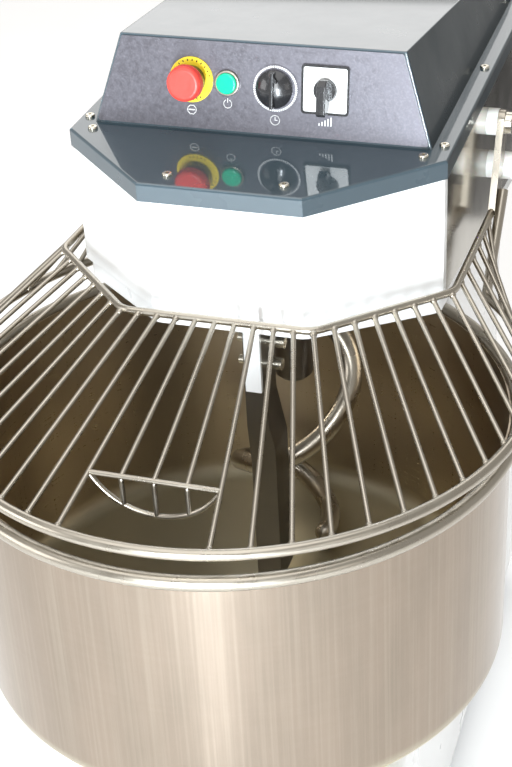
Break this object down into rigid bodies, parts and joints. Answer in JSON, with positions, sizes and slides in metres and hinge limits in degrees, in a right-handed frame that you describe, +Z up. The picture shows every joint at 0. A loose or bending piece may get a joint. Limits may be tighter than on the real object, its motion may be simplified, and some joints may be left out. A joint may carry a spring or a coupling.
{
  "type": "spiral dough mixer",
  "caption": "Floor-standing spiral dough mixer: turning stainless bowl, spiral hook, breaker bar, hinged wire guard and a sloping console with stop, start, timer and speed controls.",
  "frame": {"origin": "on the floor, under the middle of the machine's overall box", "axes": "+Z up, -Y towards the operator at the bowl and console, +X to the operator's right"},
  "size_m": [0.6672, 1.007, 1.0898],
  "materials": {
    "painted_white": "smooth gloss white paint on sheet steel",
    "painted_blue": "gloss dark blue-grey paint on sheet steel",
    "panel_grey": "fine-textured dark grey overlay",
    "stainless_brushed": "spun and brushed stainless steel",
    "stainless_polished": "polished stainless steel bar and wire",
    "stainless_panel": "smooth stainless side panel",
    "dark_steel": "dark ground steel",
    "nylon_white": "turned white nylon",
    "red_plastic": "red moulded plastic",
    "yellow_plastic": "yellow plastic collar",
    "green_plastic": "green moulded plastic",
    "black_plastic": "black moulded plastic",
    "white_plastic": "white dial plate",
    "grey_plastic": "grey moulded plastic",
    "zinc_screw": "zinc plated fasteners",
    "rubber_black": "black rubber",
    "motor_paint": "blue-grey motor enamel",
    "frame_steel": "primed structural steel",
    "cast_iron": "machined cast iron",
    "bright_steel": "ground shaft steel"
  },
  "bodies": {
    "mixer": {"base_shell": "painted_white", "base_chassis": "frame_steel", "feet": "rubber_black", "foot_studs": "zinc_screw", "column_shell": "painted_white", "column_back_cover": "painted_white", "head_front_shell": "painted_white", "head_side_right": "stainless_panel", "head_side_left": "stainless_panel", "head_back_panel": "painted_white", "head_bottom_pan": "painted_white", "head_frame_plate": "frame_steel", "top_cover": "painted_blue", "cover_screws": "zinc_screw", "control_console": "painted_blue", "panel_overlay": "panel_grey", "estop_collar": "yellow_plastic", "estop_barrel": "black_plastic", "start_bezel": "stainless_polished", "timer_dial": "panel_grey", "speed_frame": "black_plastic", "speed_plate": "white_plastic", "switch_bodies": "grey_plastic", "bowl_neck": "stainless_brushed", "bowl_bearing_housing": "cast_iron", "bowl_bearings": "bright_steel", "bowl_motor": "motor_paint", "bowl_belt": "rubber_black", "spindle_housing": "cast_iron", "spindle_bearings": "bright_steel", "spiral_motor": "motor_paint", "spindle_belt": "rubber_black", "breaker_bar": "dark_steel", "breaker_bracket": "painted_white", "breaker_bolts": "zinc_screw", "guard_bushes": "nylon_white", "guard_bolts": "zinc_screw", "guard_stop_pegs": "nylon_white", "contactor_box": "grey_plastic", "cable_gland": "black_plastic"},
    "bowl": {"bowl_shell": "stainless_brushed", "bowl_rim_bar": "stainless_polished", "bowl_shaft": "bright_steel", "bowl_pulley": "cast_iron"},
    "bowl_motor_shaft": {"bowl_motor_rotor": "cast_iron"},
    "spiral": {"spiral_hub": "dark_steel", "spiral_hook": "stainless_polished", "spindle_shaft": "bright_steel", "spindle_pulley": "cast_iron"},
    "spiral_motor_shaft": {"spiral_motor_rotor": "cast_iron"},
    "guard": {"guard_spokes": "stainless_polished", "guard_chute": "stainless_polished", "guard_inner_wire": "stainless_polished", "guard_ring": "stainless_polished", "guard_arms": "stainless_polished"},
    "stop_stem": {"estop_stem": "grey_plastic"},
    "stop_head": {"estop_head": "red_plastic"},
    "start_button": {"start_cap": "green_plastic"},
    "timer": {"timer_knob": "black_plastic"},
    "speed": {"speed_knob": "black_plastic"}
  },
  "joints": [
    {"name": "bowl_spin", "type": "hinge", "parent": "mixer", "child": "bowl", "pos_m": [0, -0.18, 0.4], "axis": [0, 0, 1], "continuous": true},
    {"name": "bowl_motor_spin", "type": "hinge", "parent": "mixer", "child": "bowl_motor_shaft", "pos_m": [0, 0.29, 0.12], "axis": [0, 0, 1], "continuous": true},
    {"name": "spiral_spin", "type": "hinge", "parent": "mixer", "child": "spiral", "pos_m": [0.01, 0.025, 0.8], "axis": [0, 0, 1], "continuous": true},
    {"name": "spiral_motor_spin", "type": "hinge", "parent": "mixer", "child": "spiral_motor_shaft", "pos_m": [0, 0.33, 0.9], "axis": [0, 0, 1], "continuous": true},
    {"name": "guard_lift", "type": "hinge", "parent": "mixer", "child": "guard", "pos_m": [0, 0.19, 0.928], "axis": [-1, 0, 0], "range_deg": [0, 75]},
    {"name": "stop_press", "type": "slide", "parent": "mixer", "child": "stop_stem", "axis": [0, 0.9833, -0.1822], "range_m": [0, 0.0045], "stiffness_N_per_m": 600, "springref_m": -0.003},
    {"name": "stop_twist", "type": "hinge", "parent": "stop_stem", "child": "stop_head", "pos_m": [-0.077, -0.02706, 1.04526], "axis": [0, 0.9833, -0.1822], "range_deg": [0, 30], "stiffness_Nm_per_rad": 0.05, "springref_deg": -5.73},
    {"name": "start_press", "type": "slide", "parent": "mixer", "child": "start_button", "axis": [0, 0.9833, -0.1822], "range_m": [0, 0.003], "stiffness_N_per_m": 400, "springref_m": -0.002},
    {"name": "timer_turn", "type": "hinge", "parent": "mixer", "child": "timer", "pos_m": [0.0187, -0.02768, 1.04192], "axis": [0, 0.9833, -0.1822], "range_deg": [0, 300]},
    {"name": "speed_turn", "type": "hinge", "parent": "mixer", "child": "speed", "pos_m": [0.075, -0.02717, 1.04467], "axis": [0, 0.9833, -0.1822], "range_deg": [-45, 45]}
  ],
  "couplings": [
    {"joint": "bowl_motor_spin", "follows": "bowl_spin", "ratio": 3.4286},
    {"joint": "spiral_motor_spin", "follows": "spiral_spin", "ratio": 2.8571}
  ]
}
